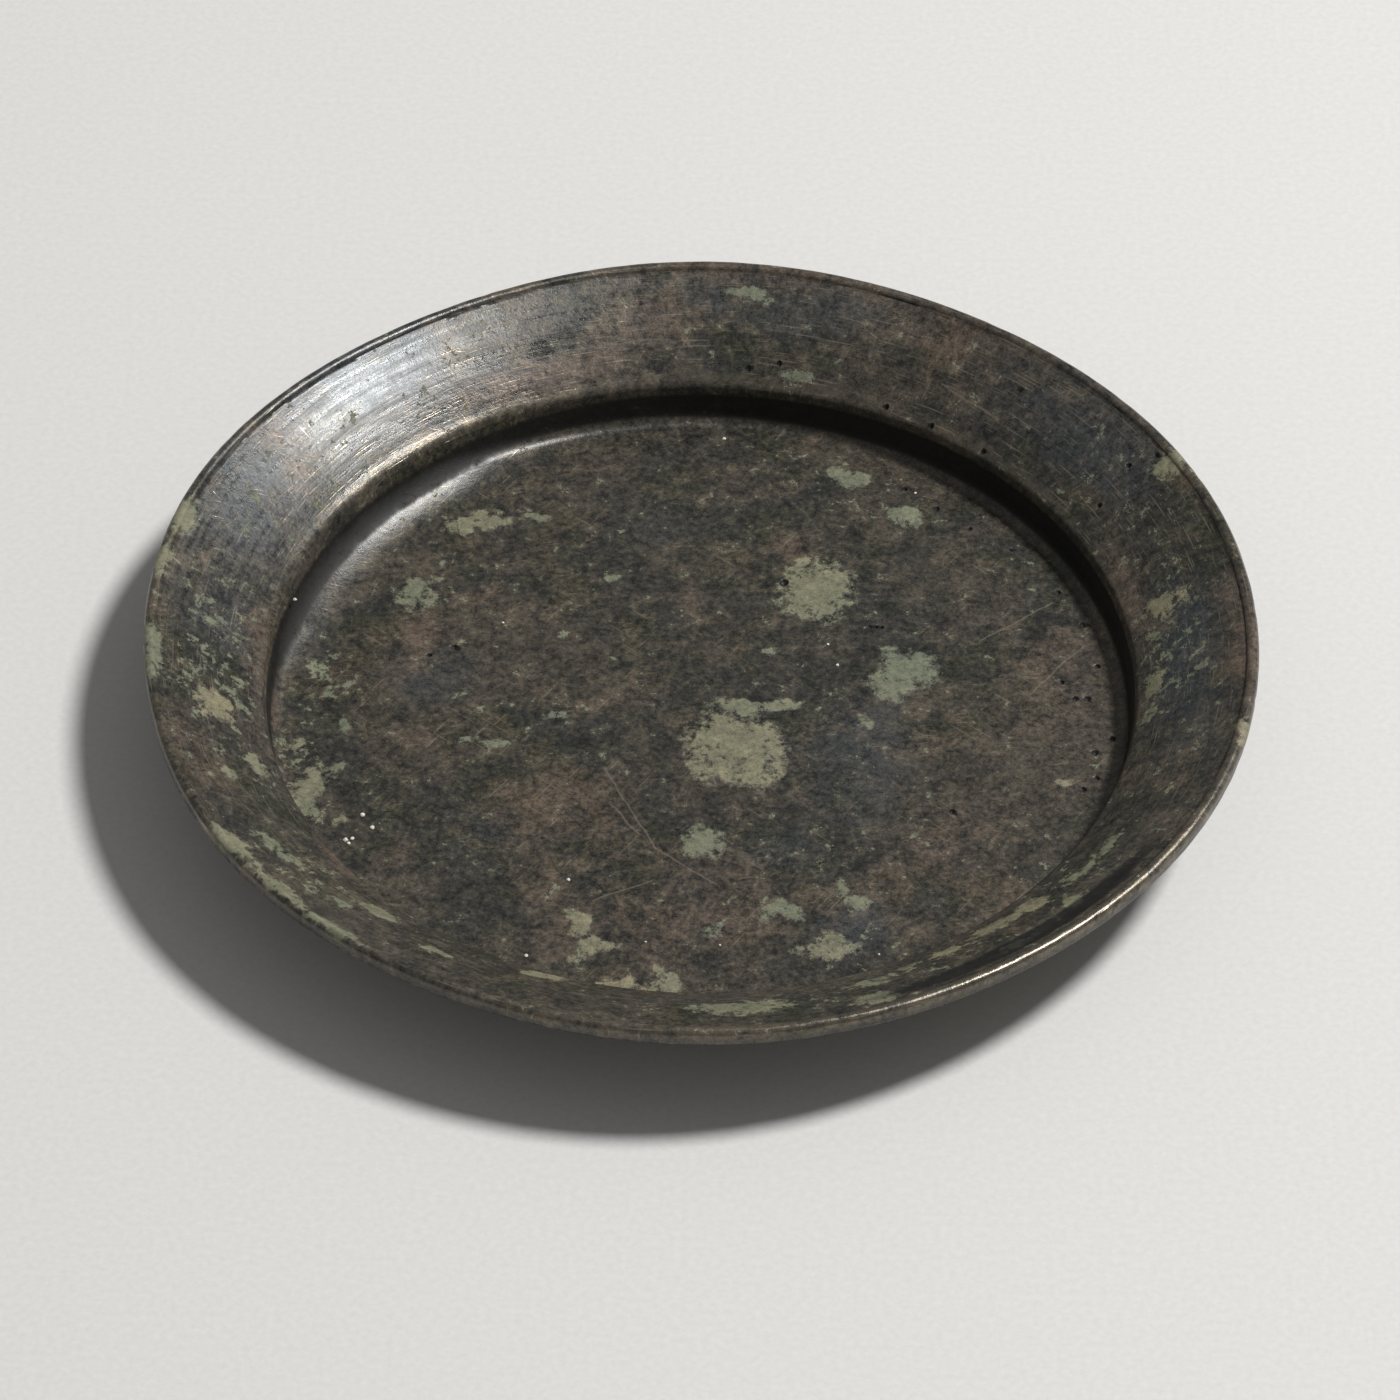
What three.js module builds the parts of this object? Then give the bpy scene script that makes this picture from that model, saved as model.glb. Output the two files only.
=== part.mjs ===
// A shallow round dish of copper alloy, raised from one sheet: a flat floor, a short steep wall,
// and a broad flaring rim that ends in a thickened, rounded lip. It rests on its flat underside.
// Millimetres, +Z up; the origin is the middle of the underside, on the surface that it rests on.
import * as THREE from "three";

// Overall sizes
const rimDiameter = 240; // across the outside of the lip
const dishHeight = 26.5; // resting surface to the crest of the lip
const sheetThickness = 1.7;

// Well, measured inside with its corners left sharp
const floorDiameter = 186; // foot of the wall
const mouthDiameter = 189; // top of the wall, where the rim begins
const wellDepth = 9.6; // floor to the mouth
const coveRadius = 3; // inside, between floor and wall
const bendRadius = 0.6; // underneath, between wall and rim

// Rim and lip
const rimCrown = 0.85; // how far the rim bulges above a straight cone
const crestRadius = 1.4; // top of the lip
const lipHeight = 3.9; // crest of the lip to its lower edge
const lipEdgeRadius = 0.8; // lower outer edge of the lip
const lipTaper = 4.5; // length over which the thickened lip runs out under the rim

// Hammer work. Each swell pushes the rim out and draws it in again as often as it has lobes.
const swells = [
  { lobes: 4, reach: 0.35, bearing: 86 },
  { lobes: 5, reach: 0.25, bearing: 11 },
  { lobes: 6, reach: 0.4, bearing: 33 },
];
// A shallow valley runs beside the lip for a part of the way round.
const valleyDepth = 0.6;
const valleyWidth = 9;
const valleyInset = 7; // outside of the lip to the middle of the valley
const valleyBearing = -52; // degrees from +X, to the middle of its length
const valleyLength = 130; // along the rim

// Fineness of the facets
const stepsAround = 96;
const rimSteps = 9;
const coveSteps = 6;
const bendSteps = 3;
const lipEdgeSteps = 3;
const crestSteps = 6;

const rimRadius = rimDiameter / 2;
const half = sheetThickness / 2;

// The profile lies in a plane of radius (x) and height (y). A stop is a point on the sheet's middle line
// with the way the line heads there, in radians from straight outwards.
const along = (angle, distance) => new THREE.Vector2(distance, 0).rotateAround(new THREE.Vector2(), angle);
const across = (angle, distance) => along(angle + Math.PI / 2, distance);
const heading = (from, to) => to.clone().sub(from).angle();
const signed = (angle) => THREE.MathUtils.euclideanModulo(angle + Math.PI, 2 * Math.PI) - Math.PI;

// The corner of the middle line below a corner of the inner face, for a sheet that heads in and out of it.
function middleCorner(corner, inwards, outwards) {
  const mean = (inwards + outwards) / 2;
  return corner.clone().add(across(mean, -half / Math.cos((outwards - inwards) / 2)));
}

// Stops round a corner, from one heading to the other, at a radius of the middle line.
function roundCorner(corner, inwards, outwards, radius, steps) {
  const turn = outwards - inwards;
  const side = Math.sign(turn);
  const start = corner.clone().add(along(inwards, -radius * Math.tan(Math.abs(turn) / 2)));
  const centre = start.clone().add(across(inwards, side * radius));
  return Array.from({ length: steps + 1 }, (_, i) => {
    const angle = inwards + (turn * i) / steps;
    return { at: centre.clone().add(across(angle, -side * radius)), angle };
  });
}

// An arc that bulges above its chord by the crown: gives the stop at a share of the way along.
function crownedArc(from, to, crown) {
  const chord = from.distanceTo(to);
  const halfTurn = 2 * Math.atan((2 * crown) / chord);
  const slope = heading(from, to);
  return (t) => {
    const angle = slope + halfTurn * (1 - 2 * t);
    const middle = slope + halfTurn * (1 - t);
    const reach = (chord * Math.sin(halfTurn * t)) / Math.sin(halfTurn);
    return { at: from.clone().add(along(middle, reach)), angle };
  };
}

// The middle line: the well's stops, from the flat floor to the rim, and the rim's arc up to the lip's centre.
function middleLine(lipCentre) {
  const foot = new THREE.Vector2(floorDiameter / 2, sheetThickness);
  const mouth = new THREE.Vector2(mouthDiameter / 2, sheetThickness + wellDepth);
  const wallAngle = heading(foot, mouth);
  const rimAngle = heading(mouth, lipCentre) + 2 * Math.atan((2 * rimCrown) / mouth.distanceTo(lipCentre));

  const footCorner = middleCorner(foot, 0, wallAngle);
  const mouthCorner = middleCorner(mouth, wallAngle, rimAngle);
  const cove = roundCorner(footCorner, 0, wallAngle, coveRadius + half, coveSteps);
  const bend = roundCorner(mouthCorner, wallAngle, rimAngle, bendRadius + half, bendSteps);
  return {
    well: [...cove, ...bend],
    rimArc: crownedArc(mouthCorner, lipCentre, rimCrown),
    rimStart: bend.at(-1).at.distanceTo(mouthCorner),
    rimEnd: mouthCorner.distanceTo(lipCentre),
  };
}

// The closed profile, from the axis outwards underneath, over the lip, and back to the axis on top.
function dishProfile() {
  const lipCentre = new THREE.Vector2(rimRadius - crestRadius, dishHeight - crestRadius);
  const { well, rimArc, rimStart, rimEnd } = middleLine(lipCentre);
  const rim = (stopShort) =>
    Array.from({ length: rimSteps }, (_, i) => {
      const reach = THREE.MathUtils.lerp(rimStart, rimEnd - stopShort, (i + 1) / rimSteps);
      return rimArc(reach / rimEnd);
    });
  const face = (stops, side) => stops.map((stop) => stop.at.clone().add(across(stop.angle, side * half)));

  // The top face ends where it meets the lip's crest, and the underside where the lip starts to thicken.
  const crestReach = Math.sqrt(crestRadius ** 2 - half ** 2);
  const top = face([...well, ...rim(crestReach)], 1);
  const under = face([...well, ...rim(lipTaper)], -1);

  // The lower edge starts where a straight line from the underside just touches it.
  const edgeCentre = new THREE.Vector2(rimRadius - lipEdgeRadius, dishHeight - lipHeight + lipEdgeRadius);
  const fromEdge = under.at(-1).clone().sub(edgeCentre);
  const edgeStart = signed(fromEdge.angle() + Math.acos(lipEdgeRadius / fromEdge.length()));
  const lowerEdge = Array.from({ length: lipEdgeSteps + 1 }, (_, i) =>
    edgeCentre.clone().add(along(THREE.MathUtils.lerp(edgeStart, 0, i / lipEdgeSteps), lipEdgeRadius)),
  );
  const crestStop = top.at(-1).clone().sub(lipCentre).angle();
  const crest = Array.from({ length: crestSteps }, (_, i) =>
    lipCentre.clone().add(along((crestStop * i) / crestSteps, crestRadius)),
  );

  const axisUnder = new THREE.Vector2(0, 0);
  const axisTop = new THREE.Vector2(0, sheetThickness);
  return [axisUnder, ...under, ...lowerEdge, ...crest, ...top.reverse(), axisTop];
}

// 1 at 0, falling smoothly to 0 at -1 and 1 and staying there.
const hump = (x) => (Math.abs(x) < 1 ? Math.cos((x * Math.PI) / 2) ** 2 : 0);

// Moves the rim's points where the hammer left them. The floor and the wall's foot stay round and flat.
function hammer(geometry) {
  const position = geometry.getAttribute("position");
  const point = new THREE.Vector3();
  const valleyReach = valleyLength / 2 / (rimRadius - valleyInset);
  for (let i = 0; i < position.count; i++) {
    point.fromBufferAttribute(position, i);
    const radius = Math.hypot(point.x, point.y);
    if (radius > floorDiameter / 2) {
      const bearing = Math.atan2(point.y, point.x);
      const share = (radius - floorDiameter / 2) / (rimRadius - floorDiameter / 2);
      const swell = swells.reduce(
        (sum, s) => sum + s.reach * Math.cos(s.lobes * (bearing - THREE.MathUtils.degToRad(s.bearing))),
        0,
      );
      const grown = (radius + swell * share) / radius;
      const fromMiddle = signed(bearing - THREE.MathUtils.degToRad(valleyBearing));
      const drop =
        valleyDepth *
        hump((radius - rimRadius + valleyInset) / (valleyWidth / 2)) *
        hump(fromMiddle / valleyReach);
      position.setXYZ(i, point.x * grown, point.y * grown, point.z - drop);
    }
  }
}

function dishBody() {
  const geometry = new THREE.LatheGeometry(dishProfile(), stepsAround);
  geometry.rotateX(Math.PI / 2);
  hammer(geometry);
  geometry.computeVertexNormals();
  const patina = new THREE.MeshStandardMaterial({ color: 0x4a4640, roughness: 0.5, metalness: 0.6 });
  const body = new THREE.Mesh(geometry, patina);
  body.name = "dish_body";
  return body;
}

const dish = new THREE.Group();
dish.add(dishBody());

export default dish;
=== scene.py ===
"""A shallow dish of old copper alloy: raised from one sheet, worn, and mottled by its patina.

The dish is spun from its section, hammered, pitted and crusted in its mesh, and coloured by one shader.
"""
import cmath
import math

import bpy
import numpy as np
from bpy.props import FloatProperty, FloatVectorProperty, IntProperty, PointerProperty
from mathutils import Matrix, Vector, noise


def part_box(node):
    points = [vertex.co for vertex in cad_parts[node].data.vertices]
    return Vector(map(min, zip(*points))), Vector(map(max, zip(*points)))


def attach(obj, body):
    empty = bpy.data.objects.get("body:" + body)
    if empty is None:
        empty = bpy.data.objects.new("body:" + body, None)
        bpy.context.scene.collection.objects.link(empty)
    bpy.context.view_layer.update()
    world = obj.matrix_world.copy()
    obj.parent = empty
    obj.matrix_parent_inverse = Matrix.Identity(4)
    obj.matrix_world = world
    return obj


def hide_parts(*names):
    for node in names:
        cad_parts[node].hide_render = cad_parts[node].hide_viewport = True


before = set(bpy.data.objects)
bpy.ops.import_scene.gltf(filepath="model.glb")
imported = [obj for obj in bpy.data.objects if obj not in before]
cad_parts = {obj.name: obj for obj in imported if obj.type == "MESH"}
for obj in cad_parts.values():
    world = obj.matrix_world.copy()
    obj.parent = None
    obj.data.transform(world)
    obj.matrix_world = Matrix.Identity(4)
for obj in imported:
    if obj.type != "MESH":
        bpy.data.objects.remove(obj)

bl_info = {
    "name": "Old copper-alloy dish",
    "version": (1, 0, 0),
    "blender": (4, 5, 0),
    "location": "3D View > Sidebar > Dish",
    "description": "Builds a shallow dish with a broad rim, its patina and a plain stage",
    "category": "Add Mesh",
}

NODE = "dish_body"
BODY = "root"
MM = 0.001
LOW, HIGH = (np.array(corner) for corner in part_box(NODE))
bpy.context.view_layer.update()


def shade(red, green, blue):
    """A colour written as it shows on a screen, from 0 to 255, as Blender's linear colour."""
    parts = (value / 255 for value in (red, green, blue))
    return tuple(part / 12.92 if part < 0.04045 else ((part + 0.055) / 1.055) ** 2.4 for part in parts)


# Marks on the dish, in millimetres from its middle, +X to the right and +Y away from the viewer.
# Crusts of pale corrosion: middle x, y, half length, half width, turn in degrees, and tint, 0 sage to 1 tan.
FLOOR_CRUSTS = (
    (25.5, 37, 7.6, 8.4, 0, 0.4), (7.5, -13, 9.4, 10.5, 20, 0.55), (11, 0.5, 9, 1.8, 5, 0.3),
    (46, 13, 6.5, 5, -20, 0.0), (41, 7, 4.5, 4, 0, 0.15), (1, -41, 4, 4.6, 30, 0.15),
    (-25.5, -66, 5, 1.9, 105, 0.6), (-22, -71.5, 4, 1.7, 15, 0.6), (-25, -75, 3.2, 1.2, 60, 0.4),
    (17, -61.5, 4.2, 2, 5, 0.1), (27.5, -71.5, 5.6, 2.5, 5, 0.5), (29.5, -55.5, 3.5, 1.5, 95, 0.2),
    (32.5, -59, 3.6, 1.2, 5, 0.2), (2.5, -68.5, 1.9, 2, 0, 0.0), (-47.5, 60.5, 4, 2.9, -20, 0.5),
    (-54, 57, 3, 3.6, 0, 0.4), (-37, 61, 2.8, 1.3, 10, 0.2), (-63.5, 35.5, 3.6, 5, 20, 0.2),
    (-32.5, -3, 2.5, 1.6, 25, 0.1), (-45, -11.5, 3, 1.2, 10, 0.1), (-50.5, -11, 2, 1.1, -20, 0.1),
    (-76.5, -5, 1.4, 2.6, 0, 0.0), (-88, -14, 1.6, 2.4, 0, 0.6), (-83.5, -24, 3.2, 3.6, 0, 0.45),
    (-84.5, -31, 4.2, 1.5, 105, 0.3), (-78, -21, 1.7, 1.6, 0, 0.3), (-77, -36.5, 1.9, 1.9, 0, 0.6),
    (-18.5, 15, 1.1, 0.7, -20, 0.2), (15, 17, 1.9, 0.9, 10, 0.2), (-20.5, 41, 1.6, 1, 0, 0.1),
    (79, -22, 2.2, 1.4, 20, 0.8), (-14.3, -84.3, 6.2, 1.8, -8, 1.0), (-6.5, -82.5, 2.8, 2, 0, 0.45),
    (32, 75, 3.4, 2.6, 0, 0.1), (45, 62, 3, 3.4, 40, 0.1), (37, -3.5, 1.4, 2.2, 30, 0.2),
)
RIM_CRUSTS = (
    (-31.7, -93.4, 4.8, 1.8, -12, 0.7), (8.5, -107, 10.5, 3.6, 7, 0.35), (-104, -18, 3.4, 4.4, 30, 0.85),
    (-113, 34, 5, 2.4, 70, 0.35), (-117, 20, 6, 1.6, 80, 0.4), (-117.5, -9, 8, 2, 94, 0.1),
    (-96.5, -67.5, 6.5, 2.8, 125, 0.35), (-87, -79, 8, 1.8, 135, 0.35), (-75, -91, 8, 1.5, 142, 0.2),
    (-88, -63, 5.5, 2.3, 140, 0.15), (-74.5, -78.5, 3.2, 1.6, 160, 0.1), (-66, -78, 4, 2.2, 150, 0.35),
    (101, 18, 3.2, 2.6, 30, 0.7), (98, -4.6, 5.2, 1.8, 95, 0.45), (103, 54, 3.6, 2.4, 30, 0.45),
    (107.5, -5, 3.2, 1, 40, 0.3), (96.5, -13, 4, 1.2, 60, 0.35), (80, -65.5, 5.5, 1.4, 50, 0.2),
    (86, -57, 4.5, 1.1, 55, 0.2), (70, -73.4, 3.6, 2.6, 45, 0.7), (62.5, -78.7, 6, 2.2, 35, 0.7),
    (52, -87.3, 3.2, 1.7, 30, 0.7), (66, -91, 4.5, 1.3, 35, 0.3), (78, -76.5, 2.8, 1.9, 40, 0.4),
    (36, -107, 5.5, 2.6, 18, 0.35), (36, -98, 3, 2.2, 20, 0.3), (43, -92.5, 1.7, 2.2, 0, 0.4),
    (115.5, -31, 5, 1.9, 105, 0.75), (21, 95, 3.6, 1.3, -8, 0.0), (9, 113, 4, 1.1, -5, 0.0),
    (-94, -33, 3.6, 2, 110, 0.4), (-99, -40, 2.2, 1.2, 120, 0.2), (-54, -92, 3, 1.4, 155, 0.3),
)
# Soft stains: middle x, y, half length, half width, turn in degrees, strength.
WARM_STAINS = (
    (-37, 92, 24, 4, 20, 1.1), (-14, 107, 14, 7, 5, 0.6), (57, 99, 15, 8, -30, 0.8),
    (93, 26, 17, 5, 105, 0.9), (-95, 0, 26, 4, 90, 0.7), (-77, -58, 8, 2.6, 127, 1.4),
    (-5, -63, 30, 22, 0, 0.55), (-30, -30, 19, 21, 0, 0.5), (78, 17, 12, 22, 0, 0.5),
    (-61, 22, 8, 6, 20, 0.9), (50, -43, 18, 9, 20, 0.6), (20, 50, 9, 6, 0, 0.6), (-49, 34, 5, 3, 0, 0.6),
    (117, -5, 34, 4, 90, 0.9), (20, 117, 46, 5, -8, 0.6), (-105, -38, 16, 6, 115, 0.5),
    (-96, 62, 22, 3, 55, 0.5), (-90, -25, 12, 4, 100, 0.6),
)
COOL_STAINS = (
    (-100, 45, 22, 14, 70, 1.0), (-104, 8, 18, 12, 90, 0.6), (33, -16, 15, 26, 0, 0.7),
    (-8, 58, 22, 12, 0, 0.4), (-58, 8, 12, 12, 0, 0.5), (-50, -37, 12, 12, 0, 0.5),
    (18, -43, 12, 10, 0, 0.7), (33, -66, 9, 12, 0, 0.8), (104, 2, 38, 9, 90, 0.9),
    (85, 65, 34, 12, 130, 0.7), (20, 108, 40, 8, -8, 0.6), (-74, 86, 34, 12, 45, 1.2),
    (0, -104, 40, 8, 0, 0.4),
)
# Stretches dusted with fine pale specks.
DUSTED = (
    (-104, -5, 34, 12, 90, 1.0), (-80, 5, 8, 12, 0, 1.0), (-86, -22, 8, 16, 10, 1.0),
    (-92, 45, 24, 10, 60, 0.6), (101, 10, 26, 9, 95, 0.8), (98, 52, 16, 9, 120, 0.6),
    (60, -83, 34, 7, 38, 0.7), (-80, -72, 24, 9, 140, 0.6), (30, 72, 26, 12, -20, 0.5),
    (20, -104, 30, 7, 10, 0.5), (-62, 40, 14, 12, 30, 0.5), (35, -50, 26, 26, 0, 0.3),
)
# Corrosion pits: x, y and radius.
PITS = (
    (18.4, 39.7, 0.75), (37.4, 25.8, 0.4), (38.6, 25.7, 0.4), (39.8, 25.6, 0.4), (-54, 18.2, 0.6),
    (-59.4, 15.7, 0.45), (79, 37.5, 0.5), (84.2, 27, 0.6), (87, 13.8, 0.45), (78.9, 8.7, 0.5),
    (81.8, 3.7, 0.5), (84.4, 3.7, 0.55), (85.5, -13, 0.6), (85.6, -21, 0.5), (82.5, -24.4, 0.55),
    (54.2, -31.4, 0.5), (45.6, 70.8, 0.5), (52.6, 64.5, 0.55), (89.5, -8.7, 0.5), (10.3, 97.4, 0.5),
    (17.3, 98, 0.45), (41.5, 86.5, 0.4), (71, 82.5, 0.5), (51.5, 80.5, 0.4), (94.5, 57, 0.45),
    (100.5, 57.5, 0.45), (-71, -60, 0.35), (63, 72, 0.4), (-20, -84, 0.35), (88, 50, 0.4), (69, 51, 0.4),
    (60, 58, 0.35),
)
# Bright grains of mineral stuck to the metal: x, y and width.
GRAINS = (
    (-72, -34, 1.0), (-69.8, -37.8, 1.0), (-75.3, -41.6, 1.1), (-73.9, -41.2, 0.9), (-74.6, -42.6, 0.8),
    (5, 87, 0.9), (-27.6, -53, 0.8), (-36, -75.5, 0.9), (-89, 24.8, 0.8), (38, -74, 0.5), (4.6, -71.8, 0.5),
    (-11, -71, 0.45), (28, 20, 0.6), (30, 13.5, 0.7), (-43.5, 26, 0.6), (48, 69.5, 0.6),
)
# Long scratches, from one point to another.
SCRATCHES = (
    (-20.5, -19, -9.5, -43), (-9.5, -43, 3.5, -54), (-19, -30, -13, -39), (53.9, 88.2, 66.5, 77.5),
    (78, 34, 62, 22), (-22, -59, -10, -53), (72, 5, 84, 20),
)
SWELLS = ((4, 0.35, 86), (5, 0.25, 11), (6, 0.4, 33))  # lobes round the rim, reach in mm, bearing in degrees

# The valley beside the lip: from the outside of the lip to its middle, half its width, and degrees.
VALLEY_INSET, VALLEY_WIDTH = 7 * MM, 4.5 * MM
VALLEY_BEARING, VALLEY_SPREAD = -52, 33
# The broad foot of the wall: where it starts from the axis, its width, and degrees.
FOOT_START, FOOT_WIDTH = 82 * MM, 11.4 * MM
FOOT_BEARING, FOOT_SPREAD = 147, 42
# The roll of the bend above it: from the mouth to its middle, and half its width.
ROLL_OFFSET, ROLL_WIDTH = 1.1 * MM, 1.5 * MM


class DishSizes(bpy.types.PropertyGroup):
    """Sizes of the dish, in metres."""

    rim_diameter: FloatProperty(
        name="Rim diameter", description="Across the outside of the lip", default=239.8 * MM, unit="LENGTH"
    )
    height: FloatProperty(
        name="Height", description="Table to the crest of the lip", default=HIGH[2] - 0.05 * MM, unit="LENGTH"
    )
    sheet: FloatProperty(name="Sheet", description="Thickness of the metal", default=1.7 * MM, unit="LENGTH")
    floor_diameter: FloatProperty(
        name="Floor diameter", description="Foot of the wall, inside", default=186 * MM, unit="LENGTH"
    )
    mouth_diameter: FloatProperty(
        name="Mouth diameter", description="Top of the wall, inside", default=189 * MM, unit="LENGTH"
    )
    well_depth: FloatProperty(
        name="Well depth", description="Floor to the mouth", default=9.6 * MM, unit="LENGTH"
    )
    cove: FloatProperty(
        name="Cove", description="Radius between floor and wall", default=3 * MM, unit="LENGTH"
    )
    bend: FloatProperty(
        name="Bend", description="Radius underneath, between wall and rim", default=0.6 * MM, unit="LENGTH"
    )
    crown: FloatProperty(
        name="Crown", description="Bulge of the rim above a cone", default=0.85 * MM, unit="LENGTH"
    )
    crest: FloatProperty(
        name="Crest", description="Radius of the top of the lip", default=1.4 * MM, unit="LENGTH"
    )
    lip_height: FloatProperty(
        name="Lip height", description="Crest to the lip's lower edge", default=3.8 * MM, unit="LENGTH"
    )
    lip_edge: FloatProperty(
        name="Lip edge", description="Radius of the lip's lower edge", default=0.8 * MM, unit="LENGTH"
    )
    lip_taper: FloatProperty(
        name="Lip taper",
        description="Length over which the lip thins underneath",
        default=4.5 * MM,
        unit="LENGTH",
    )
    ring_steps: IntProperty(name="Steps round", description="Facets round the dish", default=512, min=64)


class DishSurface(bpy.types.PropertyGroup):
    """How uneven the metal is, and its colours."""

    dents: FloatProperty(
        name="Dents", description="Height of the broad hammer dents", default=0.16 * MM, unit="LENGTH"
    )
    ripples: FloatProperty(
        name="Ripples", description="Height of the small dents", default=0.05 * MM, unit="LENGTH"
    )
    valley: FloatProperty(
        name="Valley", description="Depth of the valley beside the lip", default=0.6 * MM, unit="LENGTH"
    )
    foot: FloatProperty(
        name="Foot", description="Height of the wall's broad foot", default=4.5 * MM, unit="LENGTH"
    )
    roll: FloatProperty(
        name="Roll", description="Height of the rolled bend", default=0.22 * MM, unit="LENGTH"
    )
    wear: FloatProperty(name="Wear", description="Unevenness of the lip", default=0.12 * MM, unit="LENGTH")
    nicks: FloatProperty(
        name="Nicks", description="Depth of the nicks in the lip", default=0.3 * MM, unit="LENGTH"
    )
    pits: FloatProperty(
        name="Pits", description="Depth of the corrosion pits", default=0.7 * MM, unit="LENGTH"
    )
    crust: FloatProperty(
        name="Crust", description="How far a crust stands up", default=0.16 * MM, unit="LENGTH"
    )
    dark: FloatVectorProperty(
        name="Dark", description="Darkest patina", subtype="COLOR", default=shade(46, 47, 46), min=0, max=1
    )
    brown: FloatVectorProperty(
        name="Brown", description="Common patina", subtype="COLOR", default=shade(88, 80, 68), min=0, max=1
    )
    red: FloatVectorProperty(
        name="Red", description="Reddish stains", subtype="COLOR", default=shade(110, 93, 81), min=0, max=1
    )
    grey: FloatVectorProperty(
        name="Grey", description="Cool grey stains", subtype="COLOR", default=shade(62, 68, 71), min=0, max=1
    )
    olive: FloatVectorProperty(
        name="Olive", description="Greenish film", subtype="COLOR", default=shade(66, 67, 46), min=0, max=1
    )
    sage: FloatVectorProperty(
        name="Sage", description="Green crust", subtype="COLOR", default=shade(106, 111, 90), min=0, max=1
    )
    tan: FloatVectorProperty(
        name="Tan", description="Pale crust", subtype="COLOR", default=shade(130, 122, 95), min=0, max=1
    )
    # Near-black, for dark deposits and also for painted shade on the wall and along the near bend.
    grime_and_shade: FloatVectorProperty(
        name="Grime",
        description="Dirt in the creases",
        subtype="COLOR",
        default=shade(10, 9, 6),
        min=0,
        max=1,
    )
    # Also painted along the front-right lip and the far bend as a highlight.
    metal: FloatVectorProperty(
        name="Metal", description="Rubbed metal", subtype="COLOR", default=shade(172, 160, 142), min=0, max=1
    )


class DishStage(bpy.types.PropertyGroup):
    """The floor, the light and the camera."""

    floor_colour: FloatVectorProperty(
        name="Floor",
        description="Colour of the floor",
        subtype="COLOR",
        default=(0.72, 0.71, 0.69),
        min=0,
        max=1,
    )
    floor_size: FloatProperty(name="Floor size", description="Side of the floor", default=30.0, unit="LENGTH")
    sky: FloatProperty(name="Sky", description="Strength of the light from all round", default=0.2)
    key_power: FloatProperty(name="Key light", description="Power of the main lamp, in watts", default=90.0)
    key_size: FloatProperty(name="Key size", description="Side of the main lamp", default=0.55, unit="LENGTH")
    key_distance: FloatProperty(
        name="Key distance", description="Dish to the lamp", default=3.0, unit="LENGTH"
    )
    key_bearing: FloatProperty(
        name="Key bearing",
        description="Direction of the lamp, from +X",
        default=math.radians(16),
        subtype="ANGLE",
    )
    key_elevation: FloatProperty(
        name="Key elevation", description="Height of the lamp", default=math.radians(58), subtype="ANGLE"
    )
    camera_distance: FloatProperty(
        name="Camera", description="Camera to the dish", default=1.5, unit="LENGTH"
    )
    camera_elevation: FloatProperty(
        name="Elevation", description="Height of the camera", default=math.radians(43.5), subtype="ANGLE"
    )
    camera_dip: FloatProperty(
        name="Dip",
        description="How far the camera aims below the rim's middle",
        default=math.radians(0.62),
        subtype="ANGLE",
    )
    camera_roll: FloatProperty(
        name="Roll",
        description="Tilt of the camera about its own line",
        default=math.radians(0.46),
        subtype="ANGLE",
    )
    lens: FloatProperty(name="Lens", description="Focal length in millimetres", default=179.4)


# The section of the dish is drawn with complex numbers: radius + height * 1j.
def across(angle, distance):
    """A step to the left of a line that heads that way."""
    return 1j * cmath.rect(distance, angle)


def round_corner(corner, start, end, radius, steps):
    """Stops round a corner of the middle line, each a place and a heading."""
    turn = end - start
    side = math.copysign(1, turn)
    first = corner - cmath.rect(radius * math.tan(abs(turn) / 2), start)
    centre = first + across(start, side * radius)
    headings = [start + turn * i / steps for i in range(steps + 1)]
    return [(centre - across(heading, side * radius), heading) for heading in headings]


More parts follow.
